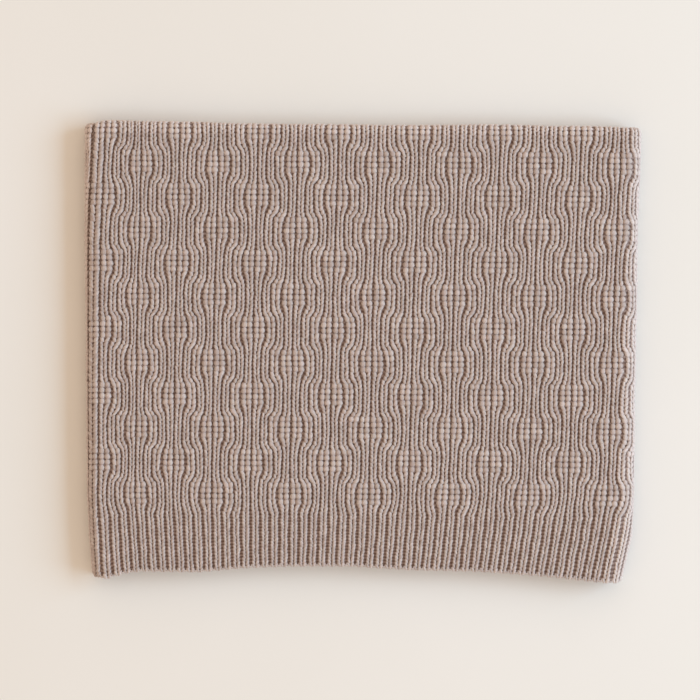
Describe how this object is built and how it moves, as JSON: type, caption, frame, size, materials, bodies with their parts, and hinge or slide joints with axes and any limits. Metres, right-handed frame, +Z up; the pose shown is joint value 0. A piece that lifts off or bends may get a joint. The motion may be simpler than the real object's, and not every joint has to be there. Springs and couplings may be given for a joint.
{
  "type": "infinity scarf",
  "caption": "Machine-knit rib tube scarf, turned down double and laid flat, with widened blocks in its ribs, a plain rib hem and a linked side seam.",
  "frame": {"origin": "on the surface that the scarf lies on, under the middle of its outline", "axes": "+X along the width, from the linked seam to the plain fold; +Y up the height, from the hems to the turned edge; +Z up"},
  "size_m": [0.2391, 0.1997, 0.0112],
  "materials": {
    "wool_rib": "matt machine-knit merino wool, taupe"
  },
  "bodies": {
    "root": {"front_panel": "wool_rib", "back_panel": "wool_rib", "side_seam": "wool_rib", "inner_panels": "wool_rib"}
  },
  "joints": []
}
